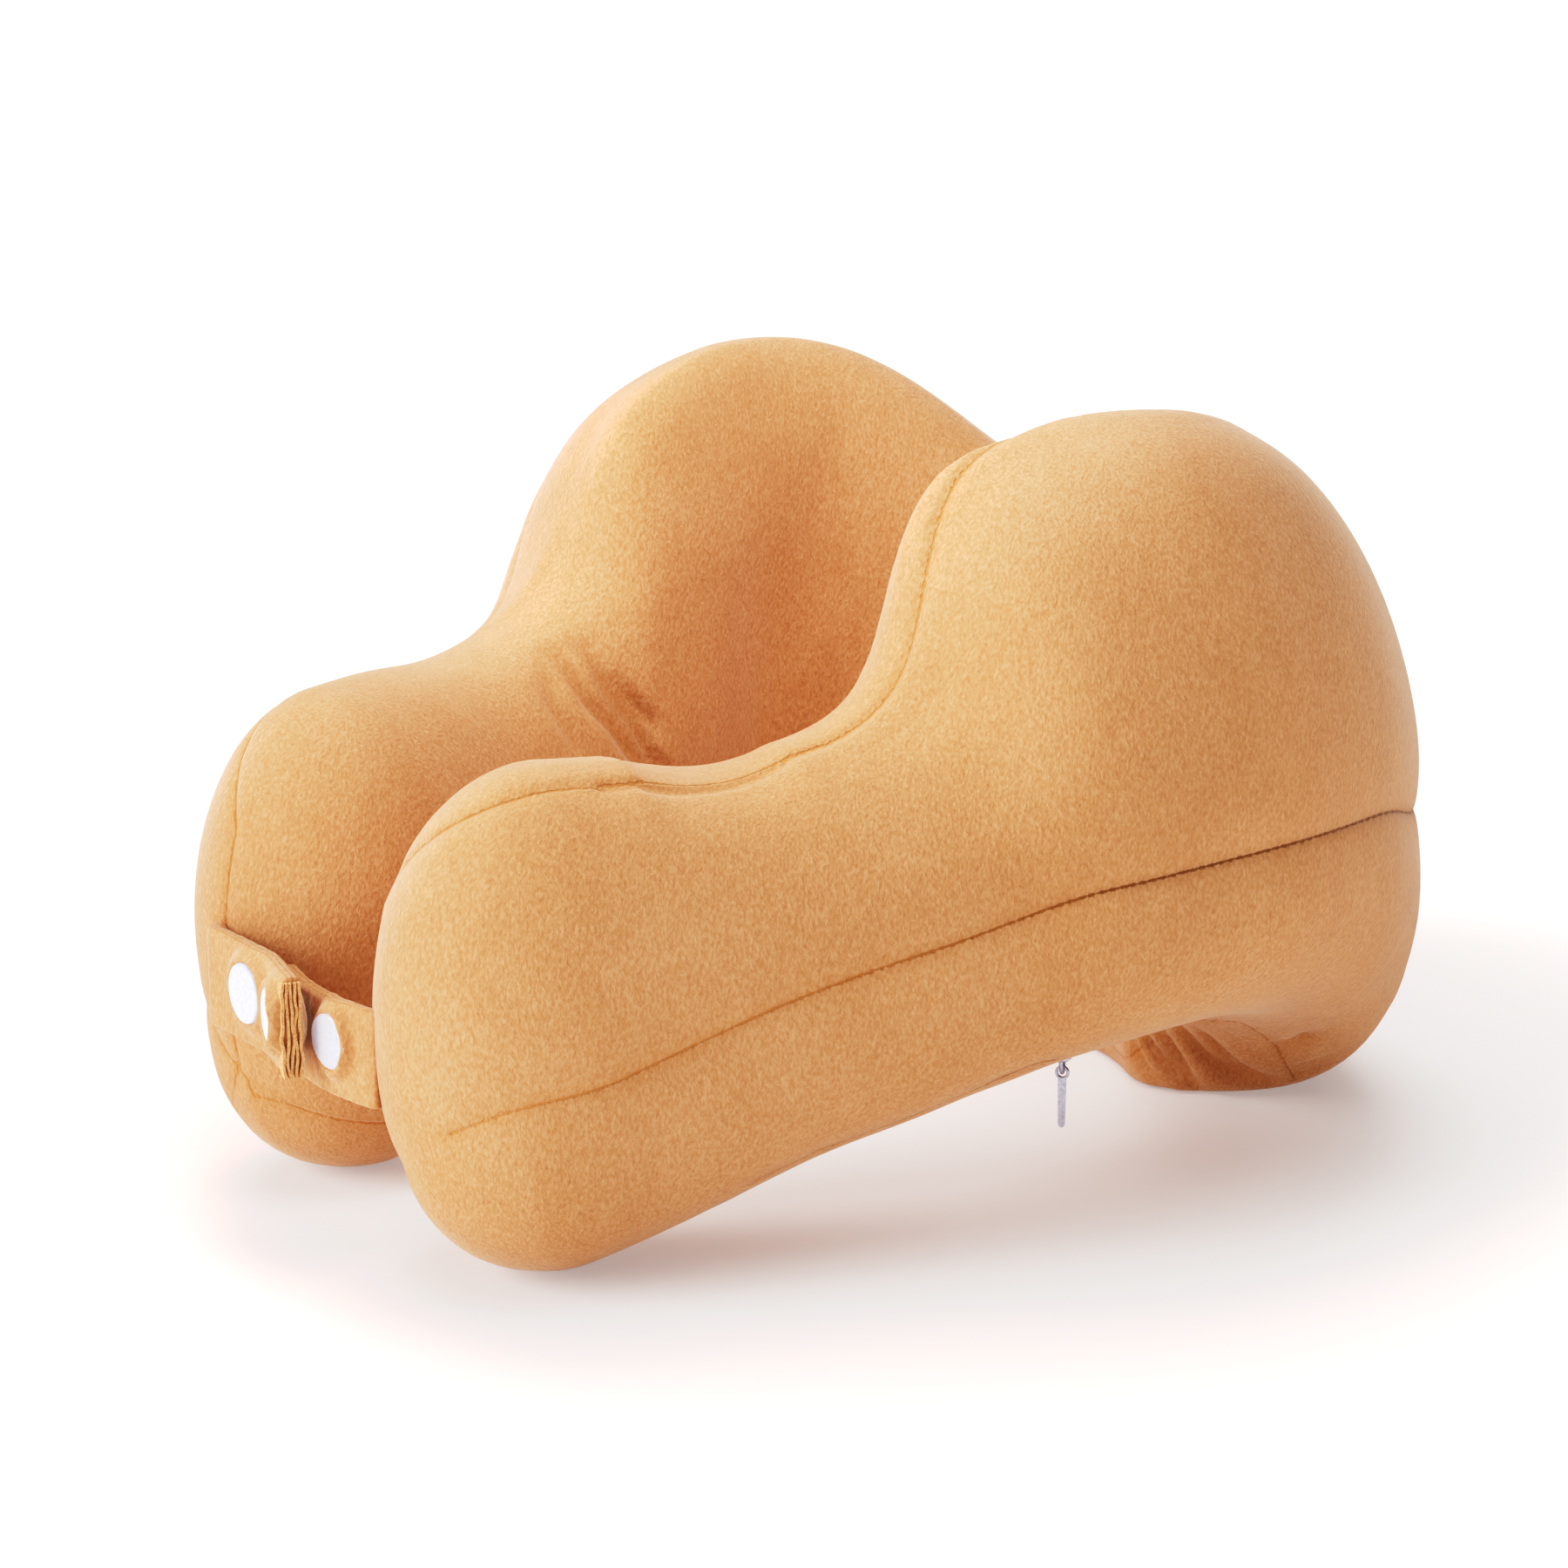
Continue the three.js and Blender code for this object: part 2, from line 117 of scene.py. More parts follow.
def storeOnPoints(piece, name, values):
    attribute = piece.data.attributes.new(name, "FLOAT", "POINT")
    attribute.data.foreach_set("value", values.astype(np.float32))


# Small helpers for materials
def linear(code):
    channels = [int(code[i:i + 2], 16) / 255 for i in (1, 3, 5)]
    return [c / 12.92 if c <= 0.04045 else ((c + 0.055) / 1.055) ** 2.4 for c in channels] + [1]


def startMaterial(name):
    material = bpy.data.materials.new(name)
    material.use_nodes = True
    tree = material.node_tree
    return material, tree, tree.nodes["Principled BSDF"]


def addNode(tree, kind, inputs=None, links=None, **settings):
    node = tree.nodes.new(kind)
    for name, value in settings.items():
        setattr(node, name, value)
    for name, value in (inputs or {}).items():
        node.inputs[name].default_value = value
    for name, source in (links or {}).items():
        tree.links.new(source, node.inputs[name])
    return node


def addRamp(tree, factor, stops):
    node = addNode(tree, "ShaderNodeValToRGB", links={"Fac": factor})
    elements = node.color_ramp.elements
    while len(elements) < len(stops):
        elements.new(0.5)
    for element, (place, colour) in zip(elements, stops):
        element.position = place
        element.color = linear(colour)
    return node.outputs["Color"]


# Polyester plush, knitted and brushed: short soft pile that stands in small tufts. Its tone varies at random,
# with painted shade deep between the tufts and a painted highlight on their tips; the sheen makes it pale
# where the pile leans away from the eye
plushSettings = {
    # The deep colour is random dark tone and painted shade between the tufts; the tip colour is random pale
    # tone and a painted highlight on the tufts' tips
    "deepAndShade": "#a26740",
    "body": "#b87b51",
    "tipAndHighlight": "#cb9167",
    "paintedFoldShade": "#8f4f22",       # painted shade in the creases of the folds
    "deepAndShadeAt": 0.44,             # tone at which each colour stands
    "bodyAt": 0.655,
    "tipAndHighlightAt": 0.87,
    "tuft": 0.8,                # mm, from one tuft to the next, drawn about twice as coarse as real
    "tuftLength": 1.7,          # times longer along the pile than across it
    "clump": 2.2,               # mm, tufts that cling together
    "stroke": 16,               # mm, marks of a hand over the pile
    "patch": 70,                # mm, areas that lie the same way
    "tuftShare": 0.75,          # of the tone
    "clumpShare": 0.1,
    "strokeShare": 0.16,
    "patchShare": 0.3,
    "lean": (0.9, 0.35, 0.6),   # radians, the way the pile lies
    "pileDepth": 0.55,          # mm
    "clumpHeight": 0.5,         # of a tuft's height
    "pileBump": 0.6,
    "sheen": 0.5,
    "sheenRoughness": 0.35,
    "sheenTint": "#ffe9d2",
    "roughness": 0.95,
    "specular": 0.15,
}


def makePlush(name, s, seams):
    material, tree, shader = startMaterial(name)
    where = addNode(tree, "ShaderNodeTexCoord").outputs["Object"]
    lean = addNode(tree, "ShaderNodeMapping", {"Rotation": s["lean"],
                   "Scale": (1, 1, 1 / s["tuftLength"])}, {"Vector": where}).outputs["Vector"]
    tufts = addNode(tree, "ShaderNodeTexNoise", {"Scale": 1 / (s["tuft"] * mm), "Detail": 2,
                    "Roughness": 0.7}, {"Vector": lean}).outputs["Fac"]
    clumps = addNode(tree, "ShaderNodeTexNoise", {"Scale": 1 / (s["clump"] * mm), "Detail": 1},
                     {"Vector": lean}).outputs["Fac"]
    strokes = addNode(tree, "ShaderNodeTexNoise", {"Scale": 1 / (s["stroke"] * mm), "Detail": 2,
                      "Distortion": 0.6}, {"Vector": lean}).outputs["Fac"]
    patches = addNode(tree, "ShaderNodeTexNoise", {"Scale": 1 / (s["patch"] * mm), "Detail": 1},
                      {"Vector": where}).outputs["Fac"]

    tone = addNode(tree, "ShaderNodeMath", {1: s["tuftShare"]}, {0: tufts},
                   operation="MULTIPLY").outputs[0]
    for share, part in (("clumpShare", clumps), ("strokeShare", strokes), ("patchShare", patches)):
        tone = addNode(tree, "ShaderNodeMath", {1: s[share]}, {0: part, 2: tone},
                       operation="MULTIPLY_ADD").outputs[0]
    # The tone follows the same tuft noise as the bump: its dark end is painted shade between the tufts, its
    # pale end a painted highlight on them
    colour = addRamp(tree, tone, [(s[name + "At"], s[name]) for name in ("deepAndShade", "body", "tipAndHighlight")])

    height = addNode(tree, "ShaderNodeMath", {1: s["clumpHeight"]}, {0: clumps, 2: tufts},
                     operation="MULTIPLY_ADD").outputs[0]
    if seams:
        # Painted shade darkens the creases of the folds
        paintedFoldShade = addNode(tree, "ShaderNodeAttribute", attribute_name="foldShade").outputs["Fac"]
        colour = mixColours(tree, paintedFoldShade, colour, linear(s["paintedFoldShade"]))
        colour, height = addSeamLines(tree, seamLineSettings, colour, height, tufts)
    else:
        colour = addLayers(tree, layerSettings, colour, tufts)

    bump = addNode(tree, "ShaderNodeBump", {"Strength": s["pileBump"], "Distance": s["pileDepth"] * mm},
                   {"Height": height}).outputs["Normal"]
    tree.links.new(colour, shader.inputs["Base Color"])
    tree.links.new(bump, shader.inputs["Normal"])
    shader.inputs["Roughness"].default_value = s["roughness"]
    shader.inputs["Sheen Weight"].default_value = s["sheen"]
    shader.inputs["Sheen Roughness"].default_value = s["sheenRoughness"]
    shader.inputs["Sheen Tint"].default_value = linear(s["sheenTint"])
    shader.inputs["Specular IOR Level"].default_value = s["specular"]
    return material


# The thread line sinks into the pile: thin, a little ragged, pinched at each stitch, with painted shade
# beside it and in the seams that face sideways
seamLineSettings = {
    "warmLine": "#ad611f",      # thread and shade in the top and front seams
    "shadedLine": "#6a3a12",      # thread with painted shade, in the seams that face sideways, low down and toward the back, such as the belt seam
    "warmStrength": 0.6,
    "darkStrength": 0.35,       # added where the line carries painted shade
    "halfWidth": 0.36,          # mm
    "fullTo": 0.35,             # half widths, where the line begins to fade
    "goneAt": 1.7,
    "reach": 3.5,               # mm, how far the shade beside a seam reaches
    "shade": 0.2,
    "stitch": 2.6,              # mm
    "pinch": 0.1,               # mm
    "ragged": 0.7,              # mm
}


def addSeamLines(tree, s, colour, height, tufts):
    distance = addNode(tree, "ShaderNodeAttribute", attribute_name="seamDistance").outputs["Fac"]
    aside = addNode(tree, "ShaderNodeAttribute", attribute_name="lineAside").outputs["Fac"]
    beyond = addNode(tree, "ShaderNodeAttribute", attribute_name="lineBeyond").outputs["Fac"]
    aside = addNode(tree, "ShaderNodeMath", links={0: aside}, operation="ABSOLUTE").outputs[0]
    aside = addNode(tree, "ShaderNodeMath", links={0: aside, 1: beyond}, operation="ADD").outputs[0]
    distance = addNode(tree, "ShaderNodeMath", links={0: distance, 1: aside}, operation="MINIMUM").outputs[0]
    along = addNode(tree, "ShaderNodeAttribute", attribute_name="seamAlong").outputs["Fac"]
    dark = addNode(tree, "ShaderNodeAttribute", attribute_name="seamShade").outputs["Fac"]
    turns = addNode(tree, "ShaderNodeMath", {1: 2 * math.pi / (s["stitch"] * mm)}, {0: along},
                    operation="MULTIPLY").outputs[0]
    pinch = addNode(tree, "ShaderNodeMath", links={0: turns}, operation="SINE").outputs[0]
    pinch = addNode(tree, "ShaderNodeMath", {1: s["pinch"] * mm}, {0: pinch, 2: distance},
                    operation="MULTIPLY_ADD").outputs[0]
    edge = addNode(tree, "ShaderNodeMath", {1: s["ragged"] * mm, 2: -s["ragged"] / 2 * mm}, {0: tufts},
                   operation="MULTIPLY_ADD").outputs[0]
    edge = addNode(tree, "ShaderNodeMath", links={0: edge, 1: pinch}, operation="ADD").outputs[0]
    line = addNode(tree, "ShaderNodeMapRange", {"From Min": s["fullTo"] * s["halfWidth"] * mm,
                   "From Max": s["goneAt"] * s["halfWidth"] * mm, "To Min": 1, "To Max": 0},
                   {"Value": edge}, interpolation_type="SMOOTHSTEP").outputs["Result"]
    shade = addNode(tree, "ShaderNodeMapRange", {"From Min": 0, "From Max": s["reach"] * mm,
                    "To Min": s["shade"], "To Max": 0}, {"Value": distance},
                    interpolation_type="SMOOTHSTEP").outputs["Result"]
    strength = addNode(tree, "ShaderNodeMath", {1: s["darkStrength"], 2: s["warmStrength"]}, {0: dark},
                       operation="MULTIPLY_ADD").outputs[0]
    strength = addNode(tree, "ShaderNodeMath", links={0: line, 1: strength},
                       operation="MULTIPLY").outputs[0]
    strength = addNode(tree, "ShaderNodeMath", links={0: strength, 1: shade},
                       operation="MAXIMUM").outputs[0]
    # Thread colour, turning to painted shade on the seams that face sideways, low down and toward the back
    thread = mixColours(tree, dark, linear(s["warmLine"]), linear(s["shadedLine"]))
    colour = mixColours(tree, strength, colour, thread)
    height = addNode(tree, "ShaderNodeMath", links={0: height, 1: line}, operation="SUBTRACT").outputs[0]
    return colour, height


# The cut edges of the strap's layers, as lines along its narrow faces
layerSettings = {
    "edge": "#8a5630",
    "layer": 1.1,               # mm
    "ragged": 0.8,              # mm
    "faintest": 0.15,
    "strongest": 0.8,
    "waveLow": -0.6,            # of the wave across the layers, where the line is faintest
    "waveHigh": 0.9,
}


def addLayers(tree, s, colour, tufts):
    offset = addNode(tree, "ShaderNodeAttribute", attribute_name="layerOffset").outputs["Fac"]
    shown = addNode(tree, "ShaderNodeAttribute", attribute_name="layerShow").outputs["Fac"]
    ragged = addNode(tree, "ShaderNodeMath", {1: s["ragged"] * mm}, {0: tufts, 2: offset},
                     operation="MULTIPLY_ADD").outputs[0]
    turns = addNode(tree, "ShaderNodeMath", {1: 2 * math.pi / (s["layer"] * mm)}, {0: ragged},
                    operation="MULTIPLY").outputs[0]
    wave = addNode(tree, "ShaderNodeMath", links={0: turns}, operation="SINE").outputs[0]
    wave = addNode(tree, "ShaderNodeMapRange", {"From Min": s["waveLow"], "From Max": s["waveHigh"],
                   "To Min": s["faintest"], "To Max": s["strongest"]}, {"Value": wave}).outputs["Result"]
    strength = addNode(tree, "ShaderNodeMath", links={0: wave, 1: shown}, operation="MULTIPLY").outputs[0]
    return mixColours(tree, strength, colour, linear(s["edge"]))


def mixColours(tree, factor, first, second):
    node = addNode(tree, "ShaderNodeMix", data_type="RGBA")
    sockets = [n for n in node.inputs if n.type == "RGBA"]
    tree.links.new(factor, node.inputs[0])
    for socket, value in zip(sockets, (first, second)):
        if isinstance(value, list):
            socket.default_value = value
        else:
            tree.links.new(value, socket)
    return [n for n in node.outputs if n.type == "RGBA"][0]


coverPlush = makePlush("brushedPolyesterPlush", plushSettings, seams=True)


# The filled plush cover. Its seams are the creases of the frame's solid.
coverSettings = {
    "merge": 0.02,              # mm
    "quadAngle": 70,            # degrees
    "quadShape": 85,
    "seamAngle": 24.2,          # degrees, a sharper inward crease is a seam
    "footHeight": 0.3,          # mm, points below this rest on the surface
    "sewnWeight": 0.99,
    "finer": 2,                 # levels of subdivision
    "fill": 0.85,
    # The top seam of each arm is let out over this stretch and sewn again where the photo shows it
    "letOutFrom": -112,         # mm
    "letOutTo": 95,
    "letOutAbove": 105,
    "letOutSteps": 12,
    "easeReach": 6,             # mm
    "easeSteps": 45,
    "easeFactor": 0.7,
    "easeLeast": 0.02,
    "lineStep": 0.5,            # mm
    "grooveDepth": 1,           # mm
    "grooveWidth": 1.8,
    "grooveField": 10,          # mm, how far from a line its groove is worked out
    "grooveEnds": 3,            # times that a distance past a line's end counts
    "thinShare": 0.5,           # a thin seam's groove, as a share of a full one
    "seamField": 20,            # mm, how far from a seam its distance is worked out
    "stitchWay": (0.3, 0.9, 0.6),   # the way in which stitches are counted
    "darkSide": (0.5, 0.8),     # sideways lean of the cover over which the painted shade in its seam grows
    "darkHeight": (90, 110),    # mm, over which it turns warm again
    "darkDepth": (-95, -10),    # mm, over which that painted shade grows from the front to the back
    "foldReach": 12,            # mm
    "foldField": 3,             # widths, where that is further
    "foldEnds": 1,              # as grooveEnds
    "taperStart": 0.05,         # radians of half a turn, so a fold's ends keep a little depth
    "taperPower": 0.5,
    "softFold": 5,              # mm, a wider hollow gets no painted shade
    "foldShade": 0.1,           # for each mm of depth
    "foldShadeWidth": 0.7,      # of the fold's width
}

fillingSettings = {
    "slack": 0.6,               # mm, taken in before the filling presses the cover out
    "pressure": 4,
    "frames": 20,
    "travel": 5,                # mm, the most that a point moves
    "quality": 6,               # steps in each frame
    "weight": 0.25,             # kg for each point
    "stretch": 25,
    "shear": 8,
    "bending": 2,
}

# Where the let out seams are sewn again: at each y, so many mm along way from their old line
topSeams = [
    {"side": 1, "way": (-1, 0, 0.2), "shifts": [
        {"y": -104, "by": 0}, {"y": -92, "by": 1.2}, {"y": -80, "by": 3.2}, {"y": -66, "by": 4.6},
        {"y": -45, "by": 4}, {"y": -20, "by": 3}, {"y": -10, "by": 5.5}, {"y": 5, "by": 10},
        {"y": 20, "by": 14}, {"y": 60, "by": 14}, {"y": 95, "by": 0},
    ]},
    {"side": -1, "way": (-0.78, 0.62, 0), "shifts": [
        {"y": -75, "by": 0}, {"y": -62, "by": 5}, {"y": -50, "by": 14}, {"y": -38, "by": 22},
        {"y": 10, "by": 27}, {"y": 50, "by": 18}, {"y": 95, "by": 0},
    ]},
]

# Seams that the frame doesn't crease: the zip's under the right arm, the foot of the left bulb's
# front seam, and one in the arch of the nape
thinSeams = [
    {"name": "zipSeam", "through": [
        (78.4, -82, 22), (81.3, -74, 25.3), (87, -53.3, 30.5), (95.4, -34.5, 37), (103, -18, 43),
        (104, -9, 44),
    ]},
    {"name": "frontSeamFoot", "through": [
        (-39, -145, 33), (-40.6, -144.6, 29.9), (-43.5, -144, 25.5), (-49, -142, 19), (-51, -140, 12),
    ]},
    {"name": "archSeam", "through": [
        (66, 64, 26), (69, 68.5, 27), (79, 71, 29), (77.4, 84.5, 20.6), (74, 94.5, 11), (72, 101, 3),
    ]},
]

# Creases of the bent cover, and the hollow in the right arm's top. They are pressed in along way,
# or straight into the cover, and the narrow ones also get painted shade along them.
folds = [
    {"name": "armHollow", "depth": 5.2, "width": 17, "way": (0.1, 0, -1),
     "through": [(56, -98, 119), (59, -82, 119), (64, -60, 118)]},
    {"name": "armFootFirst", "depth": 3.2, "width": 2.2,
     "through": [(-50, -46, 118), (-48.2, -43, 116.8), (-40.2, -39.3, 107), (-37.1, -33.1, 98.6),
                 (-36.5, -27, 88), (-37, -20, 78)]},
    {"name": "armFootSecond", "depth": 3.3, "width": 2.2,
     "through": [(-49, -38, 119), (-47.1, -35.2, 117.6), (-40.6, -32.5, 107.7), (-37.9, -27.1, 99.3),
                 (-37.8, -22, 89), (-38.5, -15, 80)]},
    {"name": "armFootFaint", "depth": 1.8, "width": 2.4,
     "through": [(-47.6, -47.6, 115.8), (-38.7, -50, 106.3), (-33.4, -46.5, 95.2)]},
    {"name": "armFootShort", "depth": 2.4, "width": 2,
     "through": [(-42.5, -32, 112), (-41.5, -30.7, 109.9), (-38.6, -24.3, 101.4), (-38.2, -18.1, 94.2)]},
    {"name": "archInner", "depth": 2.4, "width": 2, "through": [(39, 67, 16), (41, 72, 10), (44, 77, 4)]},
    {"name": "archFirst", "depth": 3.4, "width": 2, "through": [(45, 68, 18), (47, 72, 12), (51, 79, 4)]},
    {"name": "archSecond", "depth": 3.4, "width": 2.2,
     "through": [(51, 68, 22), (51.6, 71.5, 17), (52.8, 83.7, 2)]},
    {"name": "archThird", "depth": 3.2, "width": 2.3,
     "through": [(58, 69, 23), (59.6, 80, 11), (66, 93, 3)]},
    {"name": "archFourth", "depth": 2.6, "width": 2.1,
     "through": [(63.6, 72, 22), (63.7, 84, 10), (68, 95, 4)]},
    {"name": "archCrescent", "depth": 2.4, "width": 1.9,
     "through": [(77.6, 86.9, 19.2), (82.5, 90.5, 20.7), (88, 89.6, 25.1)]},
    {"name": "pulledUpper", "depth": 1.2, "width": 1.7,
     "through": [(74, 96.1, 9.8), (80, 100, 9.6), (87, 103.5, 9.4)]},
    {"name": "pulledLower", "depth": 1.2, "width": 1.7,
     "through": [(73.5, 97.5, 6), (80, 101.5, 6), (86, 104.5, 6)]},
]


def copyNode(node, name, s):
    clearSelection()
    piece = bpy.data.objects.new(name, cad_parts[node].data.copy())
    piece.data.materials.clear()
    scene.collection.objects.link(piece)
    makeActive(piece)
    bpy.ops.object.mode_set(mode="EDIT")
    bpy.ops.mesh.select_all(action="SELECT")
    bpy.ops.mesh.remove_doubles(threshold=s["merge"] * mm)
    bpy.ops.mesh.tris_convert_to_quads(
        face_threshold=math.radians(s["quadAngle"]),
        shape_threshold=math.radians(s["quadShape"]),
    )
    bpy.ops.object.mode_set(mode="OBJECT")
    return piece


def markSeams(piece, s):
    mesh = bmesh.new()
    mesh.from_mesh(piece.data)
    crease = mesh.edges.layers.float.get("crease_edge") or mesh.edges.layers.float.new("crease_edge")
    limit = -math.radians(s["seamAngle"])
    sewn, letOut = set(), []
    for edge in mesh.edges:
        low = max(v.co.z for v in edge.verts) < s["footHeight"] * mm
        if len(edge.link_faces) != 2 or low or edge.calc_face_angle_signed() > limit:
            continue
        ends = tuple(v.index for v in edge.verts)
        if isLetOut(edge.verts[0].co, s) and isLetOut(edge.verts[1].co, s):
            letOut.append(ends)
        else:
            edge[crease] = 1
            sewn.update(ends)
    feet = {v.index for v in mesh.verts if v.co.z < s["footHeight"] * mm}
    mesh.to_mesh(piece.data)
    mesh.free()
    piece.vertex_groups.new(name="sewn").add(sorted(sewn), 1, "REPLACE")
    piece.vertex_groups.new(name="held").add(sorted(sewn | feet), 1, "REPLACE")
    loose = {i for ends in letOut for i in ends} - sewn
    piece.vertex_groups.new(name="letOut").add(sorted(loose), 1, "REPLACE")
    print("seam points:", len(sewn), "let out:", len(loose), "foot points:", len(feet))
    return letOut


def isLetOut(point, s):
    first, last = s["letOutFrom"] * mm, s["letOutTo"] * mm
    return point.z > s["letOutAbove"] * mm and first < point.y < last


# The let out edges of one arm as a line of points, from the front to the back
def walkSeam(piece, edges, side):
    neighbours = {}
    for a, b in edges:
        if piece.data.vertices[a].co.x * side > 0:
            neighbours.setdefault(a, []).append(b)
            neighbours.setdefault(b, []).append(a)
    ends = [v for v, near in neighbours.items() if len(near) == 1]
    path = [min(ends, key=lambda v: piece.data.vertices[v].co.y)]
    while True:
        further = [v for v in neighbours[path[-1]] if v not in path]
        if not further:
            break
        path.append(further[0])
    return np.array([piece.data.vertices[v].co for v in path])


# A smooth line through a few given points
def smoothLine(points, step):
    points = np.array(points, float)
    padded = np.vstack([2 * points[0] - points[1], points, 2 * points[-1] - points[-2]])
    line = []
    for a, b, c, d in zip(padded, padded[1:], padded[2:], padded[3:]):
        count = max(2, int(np.linalg.norm(c - b) / step))
        for i in range(count):
            t = i / count
            line.append(0.5 * (2 * b + (c - a) * t + (2 * a - 5 * b + 4 * c - d) * t ** 2
                               + (3 * b - a - 3 * c + d) * t ** 3))
    line.append(points[-1])
    return np.array(line)


def layOnSurface(piece, points):
    return np.array([piece.closest_point_on_mesh(Vector(p))[1] for p in points])


# The filling presses the cover out between its seams and its feet
def fillOut(piece, s):
    rest = readPoints(piece)
    loose = np.ones(len(rest), bool)
    group = piece.vertex_groups["held"].index
    for v in piece.data.vertices:
        loose[v.index] = not any(g.group == group for g in v.groups)
    start = rest - readNormals(piece) * (loose * s["slack"] * mm)[:, None]
    writePoints(piece, start)
    cloth = piece.modifiers.new("filling", "CLOTH")
    cloth.settings.quality = s["quality"]
    cloth.settings.mass = s["weight"]
    cloth.settings.tension_stiffness = s["stretch"]
    cloth.settings.compression_stiffness = s["stretch"]
    cloth.settings.shear_stiffness = s["shear"]
    cloth.settings.bending_stiffness = s["bending"]
    cloth.settings.use_pressure = True
    cloth.settings.uniform_pressure_force = s["pressure"]
    cloth.settings.vertex_group_mass = "held"
    cloth.settings.effector_weights.gravity = 0
    cloth.point_cache.frame_start = 1
    cloth.point_cache.frame_end = s["frames"]
    for step in range(1, s["frames"] + 1):
        scene.frame_set(step)
    applyAll(piece)
    scene.frame_set(1)
    moved = readPoints(piece) - rest
    far = np.linalg.norm(moved, axis=1)
    print("filled, mm moved:", round(float(np.median(far)) / mm, 2), "to", round(float(far.max()) / mm, 2))
    moved *= np.minimum(1, s["travel"] * mm / np.maximum(far, 1e-9))[:, None]
    writePoints(piece, rest + moved)


def subdivide(piece, levels):
    modifier = piece.modifiers.new("finer", "SUBSURF")
    modifier.levels = modifier.render_levels = levels
    applyAll(piece)


# Subdividing spreads the group's weight, and only the seam itself keeps all of it
def sewnChains(piece, s):
    group = piece.vertex_groups["sewn"].index
    sewn = {v.index for v in piece.data.vertices
            if any(g.group == group and g.weight > s["sewnWeight"] for g in v.groups)}
    return [tuple(e.vertices) for e in piece.data.edges if e.vertices[0] in sewn and e.vertices[1] in sewn]


def plantTree(samples):
    tree = kdtree.KDTree(len(samples))
    for i, sample in enumerate(samples):
        tree.insert(sample, i)
    tree.balance()
    return tree


def distanceTo(samples, points, reach):
    tree = plantTree(samples)
    return np.array([min(tree.find(p)[2], reach) for p in points])


# How far each point is to the side of the nearest line, and how far it lies beyond the line's end.
# That counts ends times, so that a groove stops soon after its line.
besideSettings = {
    "slack": 0.6,               # mm along the line that aren't yet beyond its end
    "fadeFrom": 0.7,            # of the reach, past which every point is beyond too
    "fadeBy": 3,                # times
}


def besideLines(piece, lines, reach, ends):
    s = besideSettings
    points, normals = readPoints(piece), readNormals(piece)
    samples = np.vstack(lines)
    ways = np.vstack([np.gradient(line, axis=0) for line in lines])
    ways /= np.linalg.norm(ways, axis=1)[:, None]
    tree = plantTree(samples)
    aside = np.full(len(points), reach)
    beyond = np.full(len(points), reach)
    nearest = np.zeros(len(points), int)
    for i, point in enumerate(points):
        _, k, far = tree.find(point)
        if far < reach:
            away = point - samples[k]
            aside[i] = away @ np.cross(normals[i], ways[k])
            past = max(0, abs(away @ ways[k]) - s["slack"] * mm)
            beyond[i] = past * ends + max(0, far - s["fadeFrom"] * reach) * s["fadeBy"]
            nearest[i] = k
    return aside, beyond, nearest


def pressIn(piece, lines, depths, widths, reach, ends, way=None):
    aside, beyond, nearest = besideLines(piece, lines, reach, ends)
    depth = np.concatenate(depths)[nearest]
    width = np.concatenate(widths)[nearest]
    pressed = depth * np.exp(-(aside ** 2 + beyond ** 2) / width ** 2)
    inward = -readNormals(piece) if way is None else np.array(way)
    writePoints(piece, readPoints(piece) + inward * pressed[:, None])


# The grooves of the let out seams are smoothed away
def flattenOld(piece, oldLines, s):
    samples = np.vstack([smoothLine(line, s["lineStep"] * mm) for line in oldLines])
    far = distanceTo(samples, readPoints(piece), s["seamField"] * mm)
    weights = np.exp(-(far / (s["easeReach"] * mm)) ** 2)
    group = piece.vertex_groups.new(name="oldGroove")
    for i in np.flatnonzero(weights > s["easeLeast"]):
        group.add([int(i)], float(weights[i]), "REPLACE")
    ease = piece.modifiers.new("ease", "SMOOTH")
    ease.vertex_group = "oldGroove"
    ease.factor = s["easeFactor"]
    ease.iterations = s["easeSteps"]
    applyAll(piece)


# The new line of each let out seam, and its old one
def moveSeams(piece, letOut):
    lines, old = [], []
    for row in topSeams:
        line = walkSeam(piece, letOut, row["side"])
        old.append(line)
        by = np.interp(line[:, 1] / mm, [p["y"] for p in row["shifts"]], [p["by"] for p in row["shifts"]])
        lines.append(line + np.array(row["way"]) * by[:, None] * mm)
    return lines, old


def sewLines(piece, moved, s):
    lines = [smoothLine(layOnSurface(piece, line), s["lineStep"] * mm) for line in moved]
    for row in thinSeams:
        lines.append(smoothLine(layOnSurface(piece, np.array(row["through"]) * mm), s["lineStep"] * mm))
    lines = [layOnSurface(piece, line) for line in lines]
    depths, widths = [], []
    for i, line in enumerate(lines):
        share = 1 if i < len(moved) else s["thinShare"]
        depths.append(np.full(len(line), share * s["grooveDepth"] * mm))
        widths.append(np.full(len(line), share * s["grooveWidth"] * mm))
    pressIn(piece, lines, depths, widths, s["grooveField"] * mm, s["grooveEnds"])
    return [layOnSurface(piece, line) for line in lines]


